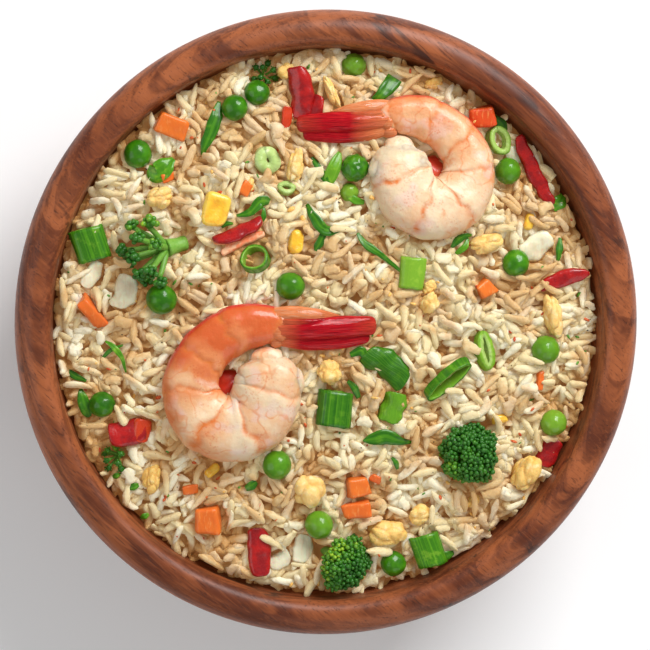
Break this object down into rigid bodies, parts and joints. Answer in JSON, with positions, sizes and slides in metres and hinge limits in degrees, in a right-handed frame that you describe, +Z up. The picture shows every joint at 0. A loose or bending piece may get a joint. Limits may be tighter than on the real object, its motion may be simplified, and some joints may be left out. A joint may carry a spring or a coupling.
{
  "type": "bowl of shrimp fried rice",
  "caption": "Round turned wooden bowl filled with fried rice and topped with curled tail-on shrimp, peas, broccoli, egg, carrot, corn, red pepper and scallion.",
  "frame": {"origin": "middle of the bowl's flat base, on the surface that it stands on", "axes": "+Z up out of the bowl, which is its shortest extent; +X to the right and +Y away from the diner, as the dish is seen from above with its two shrimp at the lower left and upper right"},
  "size_m": [0.175, 0.175, 0.0717],
  "materials": {
    "wood": "turned reddish-brown hardwood, satin oil finish",
    "rice": "cooked rice, lightly oiled",
    "shrimp": "cooked shrimp, white and orange flesh, red tail",
    "pea": "cooked green pea, moist",
    "broccoli": "cooked broccoli",
    "egg": "scrambled egg",
    "corn": "cooked corn kernel",
    "carrot": "cooked carrot",
    "pepper": "red pepper strip, glossy skin",
    "scallion": "cut scallion leaf"
  },
  "bodies": {
    "root": {"bowl": "wood", "broccoli_01": "broccoli", "broccoli_02": "broccoli", "broccoli_03": "broccoli", "broccoli_04": "broccoli", "broccoli_05": "broccoli", "carrot_01": "carrot", "carrot_02": "carrot", "carrot_03": "carrot", "carrot_04": "carrot", "carrot_05": "carrot", "carrot_06": "carrot", "corn_01": "corn", "corn_02": "corn", "egg_01": "egg", "egg_02": "egg", "egg_03": "egg", "egg_04": "egg", "egg_05": "egg", "egg_06": "egg", "egg_07": "egg", "egg_08": "egg", "egg_09": "egg", "egg_10": "egg", "egg_11": "egg", "pea_01": "pea", "pea_02": "pea", "pea_03": "pea", "pea_04": "pea", "pea_05": "pea", "pea_06": "pea", "pea_07": "pea", "pea_08": "pea", "pea_09": "pea", "pea_10": "pea", "pea_11": "pea", "pea_12": "pea", "pea_13": "pea", "pea_14": "pea", "pea_15": "pea", "pea_16": "pea", "pepper_01": "pepper", "pepper_02": "pepper", "pepper_03": "pepper", "pepper_04": "pepper", "pepper_05": "pepper", "pepper_06": "pepper", "pepper_07": "pepper", "rice": "rice", "scallion_leaf_01": "scallion", "scallion_leaf_02": "scallion", "scallion_tube_01": "scallion", "scallion_tube_02": "scallion", "scallion_tube_03": "scallion", "scallion_tube_04": "scallion", "scallion_tube_05": "scallion", "scallion_tube_06": "scallion", "scallion_tube_07": "scallion", "shrimp_left": "shrimp", "shrimp_right": "shrimp"}
  },
  "joints": []
}
